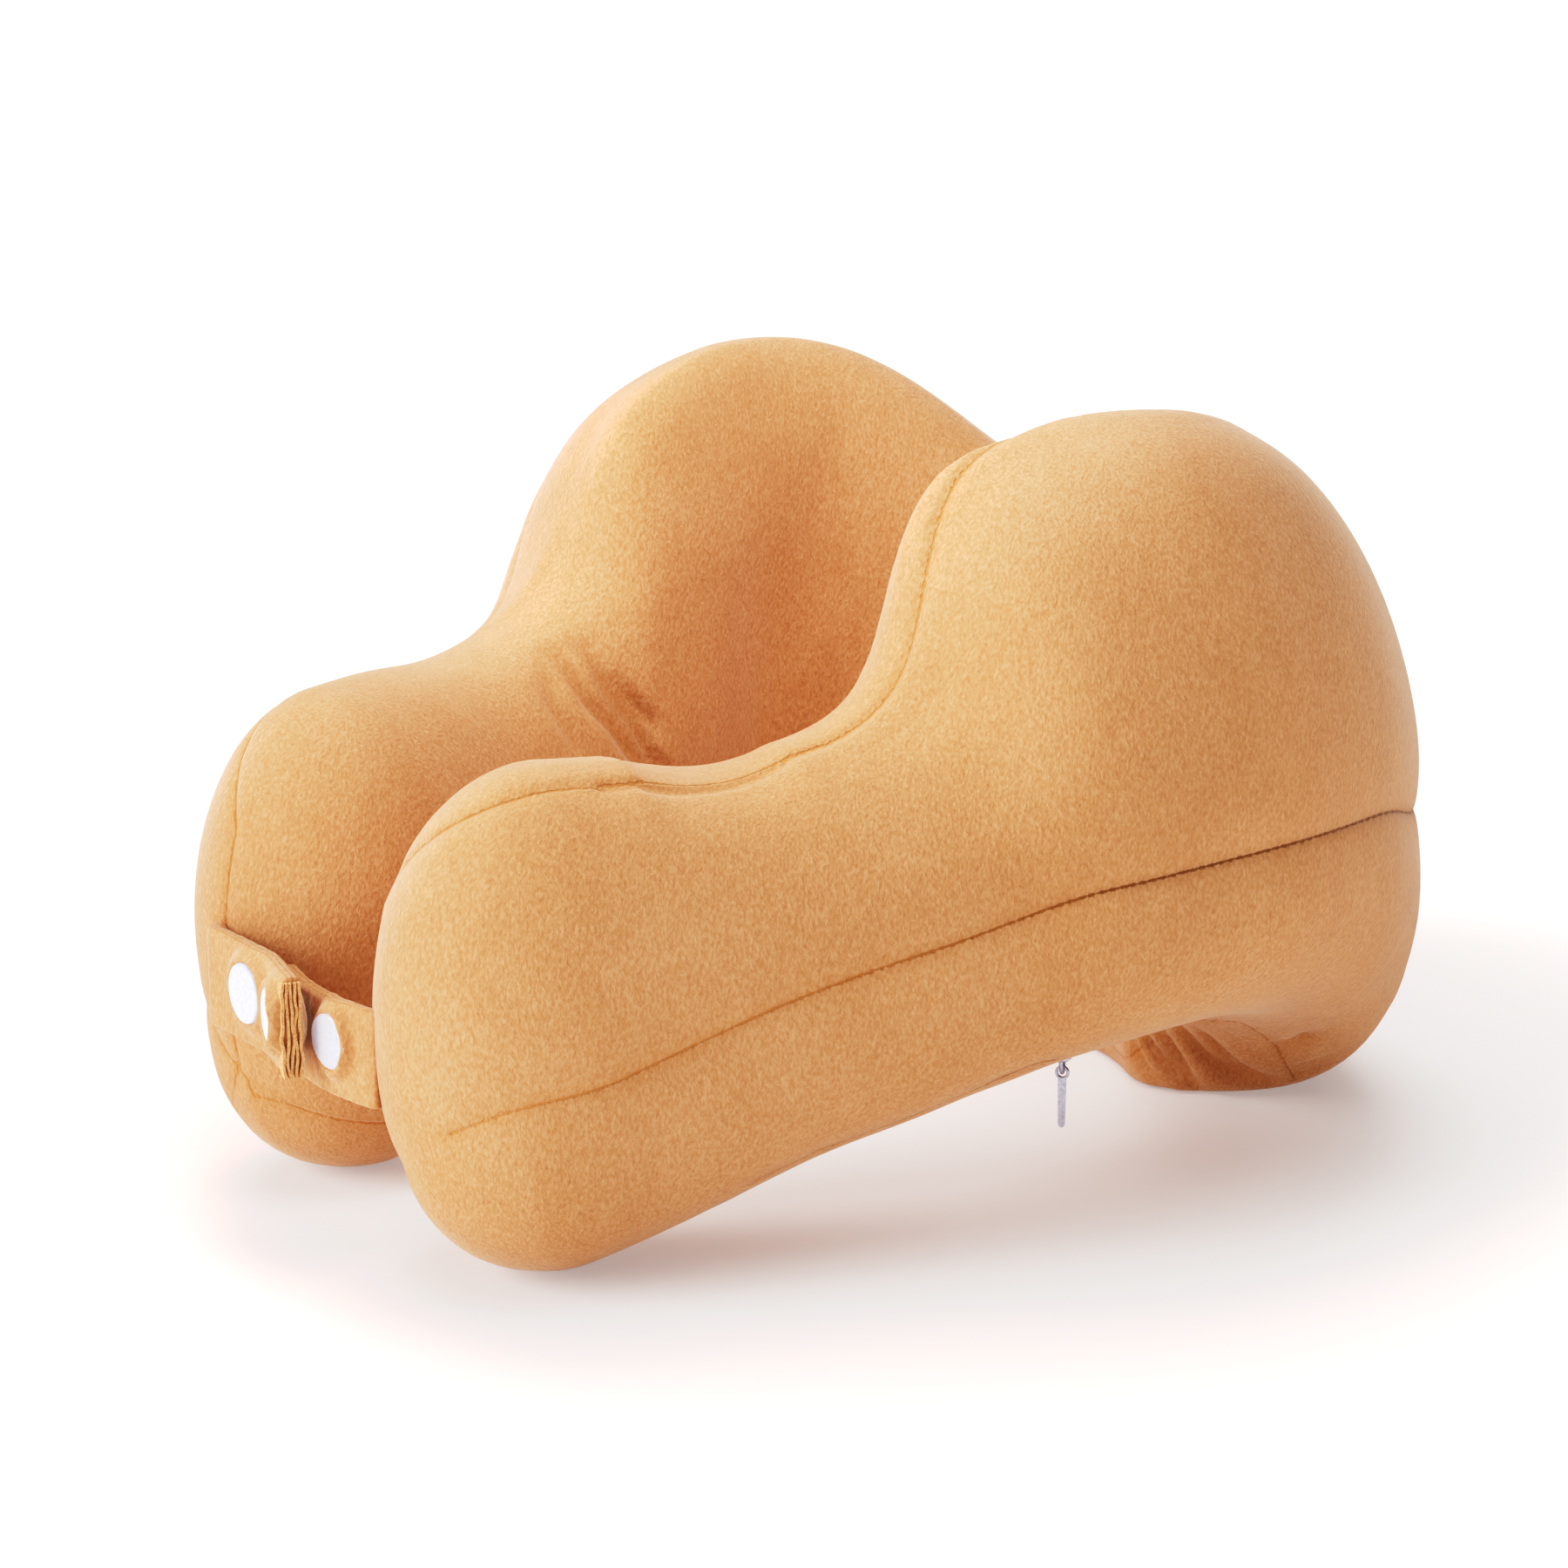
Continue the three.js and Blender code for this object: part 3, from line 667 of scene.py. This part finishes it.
def foldCover(piece, s):
    shade = np.zeros(len(piece.data.vertices))
    for row in folds:
        line = smoothLine(layOnSurface(piece, np.array(row["through"]) * mm), s["lineStep"] * mm)
        line = layOnSurface(piece, line)
        turn = np.linspace(s["taperStart"], math.pi - s["taperStart"], len(line))
        taper = np.sin(turn) ** s["taperPower"]
        reach = max(s["foldReach"], s["foldField"] * row["width"]) * mm
        width = np.full(len(line), row["width"] * mm)
        depth = taper * row["depth"] * mm
        pressIn(piece, [line], [depth], [width], reach, s["foldEnds"], way=row.get("way"))
        # A narrow fold also gets painted shade along its crease
        if row["width"] < s["softFold"]:
            aside, beyond, nearest = besideLines(piece, [line], reach, s["foldEnds"])
            near = np.exp(-(aside ** 2 + beyond ** 2) / (s["foldShadeWidth"] * width[0]) ** 2)
            shade = np.maximum(shade, taper[nearest] * near * row["depth"] * s["foldShade"])
    storeOnPoints(piece, "foldShade", shade)


# What the plush reads: how far the seams are, and how much painted shade their line carries
def storeSeams(piece, sewnLines, s):
    points, normals = readPoints(piece), readNormals(piece)
    samples = []
    for a, b in sewnChains(piece, s):
        for part in (0, 0.25, 0.5, 0.75):
            samples.append(points[a] * (1 - part) + points[b] * part)
    storeOnPoints(piece, "seamDistance", distanceTo(samples, points, s["seamField"] * mm))
    aside, beyond, _ = besideLines(piece, sewnLines, s["grooveField"] * mm, s["grooveEnds"])
    storeOnPoints(piece, "lineAside", aside)
    storeOnPoints(piece, "lineBeyond", beyond)
    storeOnPoints(piece, "seamAlong", points @ np.array(s["stitchWay"]))
    # Painted shade in the seam line: darker where the cover faces sideways, low down and toward the back
    side = np.interp(np.abs(normals[:, 0]), s["darkSide"], (0, 1))
    low = np.interp(points[:, 2] / mm, s["darkHeight"], (1, 0))
    back = np.interp(points[:, 1] / mm, s["darkDepth"], (0, 1))
    storeOnPoints(piece, "seamShade", side * low * back)


def makeCover(s):
    cover = copyNode("pillow", "plush_cover", s)
    letOut = markSeams(cover, s)
    moved, old = moveSeams(cover, letOut)
    easeOut = cover.modifiers.new("ease", "SMOOTH")
    easeOut.vertex_group = "letOut"
    easeOut.factor = 1
    easeOut.iterations = s["letOutSteps"]
    applyAll(cover)
    fillOut(cover, fillingSettings)
    subdivide(cover, s["finer"])
    flattenOld(cover, old, s)
    sewnLines = sewLines(cover, moved, s)
    foldCover(cover, s)
    storeSeams(cover, sewnLines, s)
    makeActive(cover)
    bpy.ops.object.shade_smooth()
    cover.data.materials.append(coverPlush)
    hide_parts("pillow")
    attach(cover, "root")
    print("cover:", len(cover.data.polygons), "faces")


makeCover(coverSettings)

strapPlush = makePlush("brushedStrapPlush", plushSettings, seams=False)


# Strap tabs: plush strips of several layers, sewn into the front seams and snapped together.
# route: the middle of the strip in plan, from its seam to its free end; middle: its height
# caps: distance from the sewn end, rise above the middle, radius, how far the pile stands up round
# the cap before and after its middle, and how many times narrower that ring is along the strip
# flat is in m, all else in mm
leftTab = {
    "name": "strap_left",
    "replaces": "strap_tab_left",
    "thickness": 4.2,
    "width": 23.6,
    "middle": 56.8,
    "route": [(-39.2, -147.8), (-36.8, -150.6), (-30, -150.8), (-23, -151.2), (-16, -151.6), (-10, -152),
              (-5, -153.4), (-0.3, -154.9), (4.4, -156.4), (8.6, -157.8)],
    "caps": [
        {"along": 24, "rise": 1.6, "radius": 7.2, "stand": 1.7, "standAfter": 1.9, "squeeze": 1},
        {"along": 42.6, "rise": 1.2, "radius": 7, "stand": 2.5, "standAfter": 3.9, "squeeze": 1.1},
    ],
    "backPad": {"along": 41, "radius": 5.4, "stand": 1.8},      # round the closed snap behind the tab
    "flat": (0.053, 0.024),
    "held": "laid",
    "restsOn": ["strap_right"],
}
rightTab = {
    "name": "strap_right",
    "replaces": "strap_tab_right",
    "thickness": 3.8,
    "width": 22.6,
    "middle": 52,
    "route": [(27, -146.6), (24, -147.8), (18, -148.6), (10, -148.8), (2, -148.2), (-5, -146.8),
              (-11, -145.2), (-15.6, -143.8)],
    "caps": [{"along": 13.2, "rise": 2.4, "radius": 6.6, "stand": 2.4, "standAfter": 1.9, "squeeze": 1.4}],
    "backPad": None,
    "flat": (0.044, 0.023),
    "held": "laid",
    "restsOn": ["plush_cover"],
}
tabSettings = {             # mm, except where a note says otherwise
    "step": 0.3,            # along the route
    "cell": 0.9,
    "wave": 0.22,           # the pile's unevenness
    "waveSize": 3,
    "topRidge": 0.5,        # height of the layers along the top edge
    "layers": 3,            # pieces
    "topFacing": (0.5, 1),  # upward lean of a face over which they rise
    "ringOut": 0.9,         # from the cap's rim to the ring of pile round it
    "ringWidth": 1.7,
    "rimCover": 0.3,        # cap rim that the pile covers
    "rimFade": 1.5,
    "capSink": 0.3,
    "standFade": 5,         # past the cap's middle, where the ring has its other height
    "padWidth": 2,
    "faceShare": 0.4,       # of the thickness, beyond which a point is on the front or the back
    "edgeSharp": 1.6,       # how soon the cut edges stop at the corners
}


def frontOf(way):
    return np.array((way[1], -way[0], 0)) * np.sign(way[0])


# The strip's middle line, how far each point is along it, its directions and its fronts
def readRoute(s, t):
    line = smoothLine([(x * mm, y * mm, s["middle"] * mm) for x, y in s["route"]], t["step"] * mm)
    travel = np.concatenate([[0], np.cumsum(np.linalg.norm(np.diff(line, axis=0), axis=1))])
    ways = np.gradient(line, axis=0)
    ways /= np.linalg.norm(ways, axis=1)[:, None]
    fronts = np.array([frontOf(way) for way in (ways if ways[0][0] > 0 else -ways)])
    return line, travel, ways, fronts


def cutStrip(s, t, line, travel):
    clearSelection()
    bpy.ops.mesh.primitive_grid_add(
        x_subdivisions=int(travel[-1] / mm / t["cell"]),
        y_subdivisions=int(s["width"] / t["cell"]),
        size=2,
        location=(0, 0, 0),
    )
    tab = bpy.context.object
    tab.name = s["name"]
    flat = readPoints(tab)
    at = (flat[:, 0] + 1) / 2 * travel[-1]
    placed = np.array([np.interp(at, travel, line[:, k]) for k in range(3)]).T
    placed[:, 2] += flat[:, 1] * s["width"] / 2 * mm
    writePoints(tab, placed)
    thick = tab.modifiers.new("layers", "SOLIDIFY")
    thick.thickness = s["thickness"] * mm
    thick.offset = 0
    finer = tab.modifiers.new("finer", "SUBSURF")
    finer.levels = finer.render_levels = 1
    applyAll(tab)
    makeActive(tab)
    bpy.ops.object.mode_set(mode="EDIT")
    bpy.ops.mesh.select_all(action="SELECT")
    bpy.ops.mesh.normals_make_consistent(inside=False)
    bpy.ops.object.mode_set(mode="OBJECT")
    return tab


# The pile and the filling stand up round each cap, and the layers show along the narrow faces
def raisePile(tab, s, t, line, travel, fronts):
    points, normals = readPoints(tab), readNormals(tab)
    gaps = np.linalg.norm(points[:, None, :2] - line[None, :, :2], axis=2)
    nearest = gaps.argmin(axis=1)
    along = travel[nearest]
    front = fronts[nearest]
    offset = np.einsum("ij,ij->i", points - line[nearest], front)
    up = points[:, 2] - s["middle"] * mm
    face = np.clip(offset / (t["faceShare"] * s["thickness"] * mm), 0, 1)
    rise = np.zeros(len(points))
    for cap in s["caps"]:
        past = along - cap["along"] * mm
        away = np.hypot(past * cap["squeeze"], up - cap["rise"] * mm) / mm
        later = np.clip(past / (t["standFade"] * mm), 0, 1)
        stand = cap["stand"] + (cap["standAfter"] - cap["stand"]) * later
        ring = np.exp(-((away - cap["radius"] - t["ringOut"]) / t["ringWidth"]) ** 2) * stand
        under = np.clip((cap["radius"] - t["rimCover"] - away) / t["rimFade"], 0, 1)
        rise = np.maximum(rise, ring * (1 - under)) - t["capSink"] * under
    waves = np.array([noise.noise(Vector(p) / (t["waveSize"] * mm)) for p in points]) * t["wave"]
    if s["backPad"]:
        past = np.hypot(along - s["backPad"]["along"] * mm, up) / mm
        pad = np.exp(-((past - s["backPad"]["radius"]) / t["padWidth"]) ** 2) * s["backPad"]["stand"]
        behind = np.clip(-offset / (t["faceShare"] * s["thickness"] * mm), 0, 1)
        points -= front * (pad * behind * mm)[:, None]
    points += front * (rise * face * mm)[:, None] + normals * (waves * mm)[:, None]
    ridges = np.cos(2 * math.pi * offset / (s["thickness"] / t["layers"] * mm)) * t["topRidge"]
    points[:, 2] += ridges * np.interp(normals[:, 2], t["topFacing"], (0, 1)) * mm
    writePoints(tab, points)
    storeOnPoints(tab, "layerOffset", offset)
    facing = np.abs(np.einsum("ij,ij->i", normals, front))
    storeOnPoints(tab, "layerShow", 1 - np.clip(facing * t["edgeSharp"], 0, 1))


def makeTab(s, t):
    line, travel, ways, fronts = readRoute(s, t)
    tab = cutStrip(s, t, line, travel)
    raisePile(tab, s, t, line, travel, fronts)
    makeActive(tab)
    bpy.ops.object.shade_smooth()
    tab.data.materials.append(strapPlush)
    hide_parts(s["replaces"])
    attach(tab, "root")
    print(s["name"], "length mm", round(travel[-1] / mm, 1), "faces", len(tab.data.polygons))
    return tab, line[-1], ways[-1], fronts[-1]


# The raw free end of the left tab: cut layers of knitted backing cloth, standing a little proud
endSettings = {             # mm, except where a note says otherwise
    "layers": 5,            # pieces
    "sheet": 0.62,          # one layer
    "spread": 0.98,         # from one layer to the next
    "proud": 1.1,           # past the strip's end
    "root": 2.5,            # inside it
    "height": 22.6,
    "cell": 0.6,
    "cellsAcross": 6,
    "forward": 0.64,        # of the strip's middle
    "ragged": 0.5,          # how unevenly the layers are cut
    "raggedNoise": {"turns": 9, "apart": 3.1, "plane": 0.5},
    "wavy": 0.8,            # how far the layers sway apart
    "wavyNoise": {"turns": 2.5, "apart": 1.7, "plane": 4},
    "smoothAngle": 40,      # degrees
    "cloth": "#dba272",
    "shade": "#bd7d49",
    "clothAt": 0.62,        # tone at which each colour stands
    "shadeAt": 0.35,
    "thread": 0.5,
    "threadDepth": 0.4,
    "threadBump": 0.8,
    "roughness": 0.95,
    "specular": 0.1,
}


def makeRawCloth(s):
    material, tree, shader = startMaterial("rawKnittedBacking")
    where = addNode(tree, "ShaderNodeTexCoord").outputs["Object"]
    threads = addNode(tree, "ShaderNodeTexNoise", {"Scale": 1 / (s["thread"] * mm), "Detail": 3},
                      {"Vector": where})
    colour = addRamp(tree, threads.outputs["Fac"], [(s[name + "At"], s[name]) for name in ("shade", "cloth")])
    bump = addNode(tree, "ShaderNodeBump", {"Strength": s["threadBump"], "Distance": s["threadDepth"] * mm},
                   {"Height": threads.outputs["Fac"]}).outputs["Normal"]
    tree.links.new(colour, shader.inputs["Base Color"])
    tree.links.new(bump, shader.inputs["Normal"])
    shader.inputs["Roughness"].default_value = s["roughness"]
    shader.inputs["Specular IOR Level"].default_value = s["specular"]
    return material


# Uneven values up layer k: so many turns of noise in half its height, apart from the next layer's
def noiseUp(heights, k, n):
    return np.array([noise.noise(Vector((k * n["apart"], v * n["turns"], n["plane"]))) for v in heights])


def makeRawEnd(s, end, way, front):
    cloth = makeRawCloth(s)
    sheets = []
    for k in range(s["layers"]):
        clearSelection()
        bpy.ops.mesh.primitive_grid_add(
            x_subdivisions=s["cellsAcross"],
            y_subdivisions=int(s["height"] / s["cell"]),
            size=2,
            location=(0, 0, 0),
        )
        sheet = bpy.context.object
        flat = readPoints(sheet)
        aside = (k - (s["layers"] - 1) / 2) * s["spread"] + s["forward"]
        cuts = noiseUp(flat[:, 1], k, s["raggedNoise"]) * s["ragged"]
        reach = -s["root"] + (flat[:, 0] + 1) / 2 * (s["root"] + s["proud"] + cuts)
        wavy = noiseUp(flat[:, 1], k, s["wavyNoise"]) * s["wavy"]
        placed = end + way * (reach * mm)[:, None] + front * ((aside + wavy) * mm)[:, None]
        placed[:, 2] += flat[:, 1] * s["height"] / 2 * mm
        writePoints(sheet, placed)
        thick = sheet.modifiers.new("cloth", "SOLIDIFY")
        thick.thickness = s["sheet"] * mm
        thick.offset = 0
        applyAll(sheet)
        sheet.data.materials.append(cloth)
        sheets.append(sheet)
    clearSelection()
    for sheet in sheets:
        sheet.select_set(True)
    bpy.context.view_layer.objects.active = sheets[0]
    bpy.ops.object.join()
    layers = bpy.context.object
    layers.name = "strap_raw_end"
    bpy.ops.object.shade_smooth_by_angle(angle=math.radians(s["smoothAngle"]))
    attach(layers, "root")
    return layers


tabLeft, endPlace, endWay, endFront = makeTab(leftTab, tabSettings)
tabRight = makeTab(rightTab, tabSettings)[0]
rawEnd = makeRawEnd(endSettings, endPlace, endWay, endFront)
print("strap ready")


# Injection-moulded white acetal of the snaps: even and slightly glossy, with the mould's faint marks
snapSettings = {
    "shade": "#c3c6d4",
    "body": "#d3d6e2",
    "shadeAt": 0.3,         # tone at which each colour stands
    "bodyAt": 0.7,
    "mark": 1.1,            # mm
    "markDepth": 0.12,      # mm
    "markBump": 0.3,
    "roughness": 0.32,
}


def makeSnapPlastic(s):
    material, tree, shader = startMaterial("mouldedAcetalSnap")
    where = addNode(tree, "ShaderNodeTexCoord").outputs["Object"]
    marks = addNode(tree, "ShaderNodeTexNoise", {"Scale": 1 / (s["mark"] * mm), "Detail": 2},
                    {"Vector": where})
    colour = addRamp(tree, marks.outputs["Fac"], [(s[name + "At"], s[name]) for name in ("shade", "body")])
    bump = addNode(tree, "ShaderNodeBump", {"Strength": s["markBump"], "Distance": s["markDepth"] * mm},
                   {"Height": marks.outputs["Fac"]}).outputs["Normal"]
    tree.links.new(colour, shader.inputs["Base Color"])
    tree.links.new(bump, shader.inputs["Normal"])
    shader.inputs["Roughness"].default_value = s["roughness"]
    return material


# Die-cast zinc, barrel-tumbled and nickel-plated: pale metal with soft, uneven highlights
zipSettings = {
    "shade": "#8b8c9c",
    "body": "#b3b4c6",
    "shadeAt": 0.3,         # tone at which each colour stands
    "bodyAt": 0.7,
    "wear": 0.8,            # mm
    "smoothest": 0.22,
    "roughest": 0.42,
}


def makeZipMetal(s):
    material, tree, shader = startMaterial("nickelPlatedZinc")
    where = addNode(tree, "ShaderNodeTexCoord").outputs["Object"]
    wear = addNode(tree, "ShaderNodeTexNoise", {"Scale": 1 / (s["wear"] * mm), "Detail": 3},
                   {"Vector": where})
    colour = addRamp(tree, wear.outputs["Fac"], [(s[name + "At"], s[name]) for name in ("shade", "body")])
    rough = addNode(tree, "ShaderNodeMapRange", {"To Min": s["smoothest"], "To Max": s["roughest"]},
                    {"Value": wear.outputs["Fac"]}).outputs["Result"]
    tree.links.new(colour, shader.inputs["Base Color"])
    tree.links.new(rough, shader.inputs["Roughness"])
    shader.inputs["Metallic"].default_value = 1
    return material


def dressNodes(material, nodes):
    for node in nodes:
        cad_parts[node].data.materials.clear()
        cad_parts[node].data.materials.append(material)


dressNodes(makeSnapPlastic(snapSettings), ("snap_cap_root", "snap_cap_end", "snap_cap_right", "snap_joint"))
dressNodes(makeZipMetal(zipSettings), ("zip_slider", "zip_pull"))
print("snaps and zip ready")


# Pale floor, soft studio light and the contrasty tone curve of the photograph. The floor glows with painted
# light, weaker near the middle, a painted shade round the pillow
studioSettings = {
    "floorSize": 30,                # m
    "floor": "#ede6e3",
    "floorRoughness": 0.95,
    "floorSpecular": 0.1,
    "floorGlow": 0.14,
    "farGlow": 0.6,
    "glowFrom": 0.13,               # m from the middle, where the floor's painted glow begins to grow stronger
    "glowTo": 0.36,
    "world": "#ffffff",
    "worldStrength": 0.03,
    "softness": 45,                 # degrees, how wide each light spreads
    "suns": [                       # right, toward the camera and up, from the camera's azimuth
        {"name": "keyLeft", "from": (-0.9, 0.35, 0.4), "strength": 2.7},
        {"name": "backTop", "from": (-0.1, -0.6, 0.8), "strength": 1.65},
        {"name": "fillRight", "from": (0.4, 0.3, 0.85), "strength": 0.2},
        {"name": "topFill", "from": (0, 0.1, 1), "strength": 0.4},
    ],
    # Two small lamps over the neck hole, in m and W, which the light between the arms needs
    "neckLamp": {"place": (0.03, -0.12, 0.38), "aim": (0, -0.08, 0.1), "size": 0.2, "power": 0.42},
    "neckSpot": {"place": (0.05, -0.03, 0.4), "aim": (-0.06, 0.03, 0.1), "size": 0.06, "power": 1.9,
                 "cone": 46},
    "toneContrast": 1.5,            # slope of the curve in the shades
    "toneShoulder": 1.05,
    "toneMiddle": 0.285,            # scene light that comes out at half the shoulder
    "toneSteps": (0.02, 0.05, 0.1, 0.15, 0.2, 0.3, 0.4, 0.5, 0.65, 0.8),
}


def makeLamp(kind, name, place, aim, power):
    bpy.ops.object.light_add(type=kind, location=place)
    lamp = bpy.context.object
    lamp.name = name
    lamp.data.energy = power
    lamp.rotation_mode = "QUATERNION"
    lamp.rotation_quaternion = (Vector(aim) - Vector(place)).to_track_quat("-Z", "Y")
    return lamp.data


def makeSun(sun, s):
    azimuth = math.radians(cameraSettings["azimuth"])
    right = Vector((math.cos(azimuth), math.sin(azimuth), 0))
    toward = Vector((math.sin(azimuth), -math.cos(azimuth), 0))
    across, near, up = sun["from"]
    place = right * across + toward * near + Vector((0, 0, up))
    light = makeLamp("SUN", sun["name"], place, (0, 0, 0), sun["strength"])
    light.angle = math.radians(s["softness"])


def makeNeckLamps(lamp, spot):
    light = makeLamp("AREA", "neckLamp", lamp["place"], lamp["aim"], lamp["power"])
    light.shape = "DISK"
    light.size = lamp["size"]
    light = makeLamp("SPOT", "neckSpot", spot["place"], spot["aim"], spot["power"])
    light.spot_size = math.radians(spot["cone"])
    light.spot_blend = 1
    light.shadow_soft_size = spot["size"]


def makeFloor(s):
    bpy.ops.mesh.primitive_plane_add(size=s["floorSize"], location=(0, 0, 0))
    floor = bpy.context.object
    floor.name = "studio_floor"
    material, tree, shader = startMaterial("matPaperFloor")
    shader.inputs["Base Color"].default_value = linear(s["floor"])
    shader.inputs["Roughness"].default_value = s["floorRoughness"]
    shader.inputs["Specular IOR Level"].default_value = s["floorSpecular"]
    # The floor's own glow is painted light, weaker near the middle as a painted shade round the pillow
    shader.inputs["Emission Color"].default_value = (1, 1, 1, 1)
    where = addNode(tree, "ShaderNodeTexCoord").outputs["Object"]
    away = addNode(tree, "ShaderNodeVectorMath", links={0: where}, operation="LENGTH").outputs["Value"]
    glow = addNode(tree, "ShaderNodeMapRange", {"From Min": s["glowFrom"], "From Max": s["glowTo"],
                   "To Min": s["floorGlow"], "To Max": s["farGlow"]}, {"Value": away}).outputs["Result"]
    tree.links.new(glow, shader.inputs["Emission Strength"])
    floor.data.materials.append(material)


def setTones(s):
    view = scene.view_settings
    view.view_transform = "Standard"
    view.look = "None"
    view.use_curve_mapping = True
    view.curve_mapping.initialize()
    curve = view.curve_mapping.curves[3]    # of all three colours together
    for light in s["toneSteps"]:
        lifted = (light / s["toneMiddle"]) ** s["toneContrast"]
        curve.points.new(light, s["toneShoulder"] * lifted / (lifted + 1))
    view.curve_mapping.update()


def makeStudio(s):
    clearSelection()
    makeFloor(s)
    for sun in s["suns"]:
        makeSun(sun, s)
    makeNeckLamps(s["neckLamp"], s["neckSpot"])
    world = bpy.data.worlds.new("paleStudio")
    world.use_nodes = True
    background = world.node_tree.nodes["Background"]
    background.inputs["Color"].default_value = linear(s["world"])
    background.inputs["Strength"].default_value = s["worldStrength"]
    scene.world = world
    setTones(s)


makeStudio(studioSettings)
print("studio ready")
